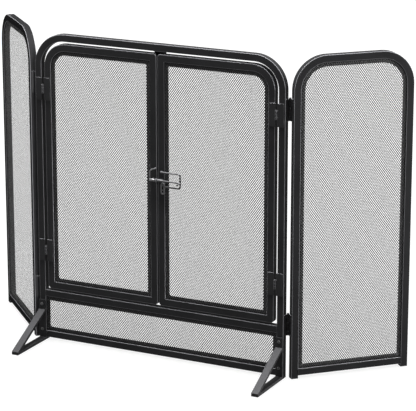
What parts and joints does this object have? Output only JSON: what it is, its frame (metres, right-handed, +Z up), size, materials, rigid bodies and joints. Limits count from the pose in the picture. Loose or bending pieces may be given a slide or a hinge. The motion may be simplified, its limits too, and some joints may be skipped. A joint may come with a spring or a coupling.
{
  "type": "fireplace screen",
  "caption": "Free-standing three-panel hearth screen in black square tube, with fold-back wings, two latched front doors, woven wire mesh and triangular feet.",
  "frame": {"origin": "centre of the bottom of the whole screen's box, on the floor, with the side panels standing 45 degrees back", "axes": "+X along the centre panel to the viewer's right, +Y backwards to the hearth, +Z up"},
  "size_m": [1.137, 0.3732, 0.787],
  "materials": {
    "powder_black": "satin black powder coat with a fine orange-peel texture",
    "foot_black": "satin black powder coat, lighter where it faces up",
    "hinge_black": "satin black powder coat over welded hinges",
    "latch_wire": "semi-gloss black coated round wire",
    "wire_mesh": "matt black coated woven wire",
    "screw_black": "black oxide pan-head screws",
    "leg_cap": "matt black moulded plug",
    "insert_steel": "zinc-plated steel, hidden inside the legs"
  },
  "bodies": {
    "centre": {"centre_hoop": "powder_black", "mid_rail": "powder_black", "bottom_rail": "powder_black", "lower_mesh_flange": "powder_black", "lower_mesh": "wire_mesh", "door_stop_tab": "powder_black", "left_foot": "foot_black", "right_foot": "foot_black", "foot_screws": "screw_black", "foot_rivet_nuts": "insert_steel", "centre_leg_caps": "leg_cap", "door_hinge_pins": "hinge_black", "panel_hinge_pins": "hinge_black", "left_door_upper_frame_leaf": "hinge_black", "left_door_lower_frame_leaf": "hinge_black", "right_door_upper_frame_leaf": "hinge_black", "right_door_lower_frame_leaf": "hinge_black", "left_panel_upper_fixed_leaf": "hinge_black", "left_panel_lower_fixed_leaf": "hinge_black", "right_panel_upper_fixed_leaf": "hinge_black", "right_panel_lower_fixed_leaf": "hinge_black"},
    "left_door": {"left_door_frame": "powder_black", "left_door_flange": "powder_black", "left_door_mesh": "wire_mesh", "left_door_upper_door_leaf": "hinge_black", "left_door_lower_door_leaf": "hinge_black", "latch_keeper": "latch_wire"},
    "right_door": {"right_door_frame": "powder_black", "right_door_flange": "powder_black", "right_door_mesh": "wire_mesh", "right_door_upper_door_leaf": "hinge_black", "right_door_lower_door_leaf": "hinge_black", "latch_guard": "latch_wire", "latch_guide": "latch_wire", "latch_eye": "latch_wire", "right_door_pull": "latch_wire"},
    "latch": {"latch_bolt": "latch_wire"},
    "left_panel": {"left_panel_hoop": "powder_black", "left_panel_rail": "powder_black", "left_panel_flange": "powder_black", "left_panel_mesh": "wire_mesh", "left_panel_caps": "leg_cap", "left_panel_upper_panel_leaf": "hinge_black", "left_panel_lower_panel_leaf": "hinge_black"},
    "right_panel": {"right_panel_hoop": "powder_black", "right_panel_rail": "powder_black", "right_panel_flange": "powder_black", "right_panel_mesh": "wire_mesh", "right_panel_caps": "leg_cap", "right_panel_upper_panel_leaf": "hinge_black", "right_panel_lower_panel_leaf": "hinge_black"}
  },
  "joints": [
    {"name": "left_door_swing", "type": "hinge", "parent": "centre", "child": "left_door", "pos_m": [-0.31475, -0.04861, 0.45], "axis": [0, 0, -1], "range_deg": [0, 165]},
    {"name": "right_door_swing", "type": "hinge", "parent": "centre", "child": "right_door", "pos_m": [0.31475, -0.04861, 0.45], "axis": [0, 0, 1], "range_deg": [0, 165]},
    {"name": "latch_bolt_slide", "type": "slide", "parent": "right_door", "child": "latch", "axis": [-1, 0, 0], "range_m": [0, 0.014]},
    {"name": "left_panel_fold", "type": "hinge", "parent": "centre", "child": "left_panel", "pos_m": [-0.3392, -0.02541, 0.4], "axis": [0, 0, -1], "range_deg": [-45, 135]},
    {"name": "right_panel_fold", "type": "hinge", "parent": "centre", "child": "right_panel", "pos_m": [0.3392, -0.02541, 0.4], "axis": [0, 0, 1], "range_deg": [-45, 135]}
  ]
}
